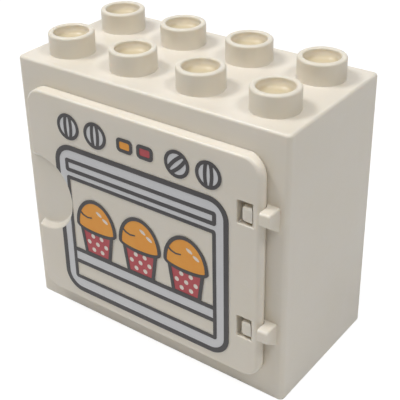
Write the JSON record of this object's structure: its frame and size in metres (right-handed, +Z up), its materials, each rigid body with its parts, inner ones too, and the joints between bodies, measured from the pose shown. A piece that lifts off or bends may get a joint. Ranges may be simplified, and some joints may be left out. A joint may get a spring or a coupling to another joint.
{
  "type": "toy oven",
  "caption": "Toy oven: a hollow studded brick cabinet with a printed door that swings on a snap-in bar hinge.",
  "frame": {"origin": "centre of the overall box at its base", "axes": "+X along the long side to the right of someone facing the door, -Y out of the door, +Z up through the studs"},
  "size_m": [0.0638, 0.0354, 0.062],
  "materials": {
    "plastic": "warm off-white moulded plastic, softly glossy",
    "ink_grey": "printed light grey ink",
    "ink_black": "printed soft black ink",
    "ink_orange": "printed orange ink",
    "ink_red": "printed red ink",
    "ink_white": "printed white ink"
  },
  "bodies": {
    "cabinet": {"cabinet": "plastic"},
    "door": {"door": "plastic", "knob_print_face_1": "ink_grey", "knob_print_face_2": "ink_grey", "knob_print_face_3": "ink_grey", "knob_print_face_4": "ink_grey", "knob_print_lines_1": "ink_black", "knob_print_lines_2": "ink_black", "knob_print_lines_3": "ink_black", "knob_print_lines_4": "ink_black", "lamp_print_orange": "ink_orange", "lamp_print_red": "ink_red", "lamp_print_rim_orange": "ink_black", "lamp_print_rim_red": "ink_black", "oven_print_grey": "ink_grey", "oven_print_frame": "ink_black", "oven_print_handle": "ink_black", "oven_print_glass": "ink_black", "muffin_print_ground_1": "ink_white", "muffin_print_ground_2": "ink_white", "muffin_print_ground_3": "ink_white", "muffin_print_case_1": "ink_red", "muffin_print_case_2": "ink_red", "muffin_print_case_3": "ink_red", "muffin_print_top_1": "ink_orange", "muffin_print_top_2": "ink_orange", "muffin_print_top_3": "ink_orange", "muffin_print_lines_1": "ink_black", "muffin_print_lines_2": "ink_black", "muffin_print_lines_3": "ink_black"}
  },
  "joints": [
    {"name": "door_hinge", "type": "hinge", "parent": "cabinet", "child": "door", "pos_m": [0.02693, -0.01547, 0.0288], "axis": [0, 0, 1], "range_deg": [0, 135]}
  ]
}
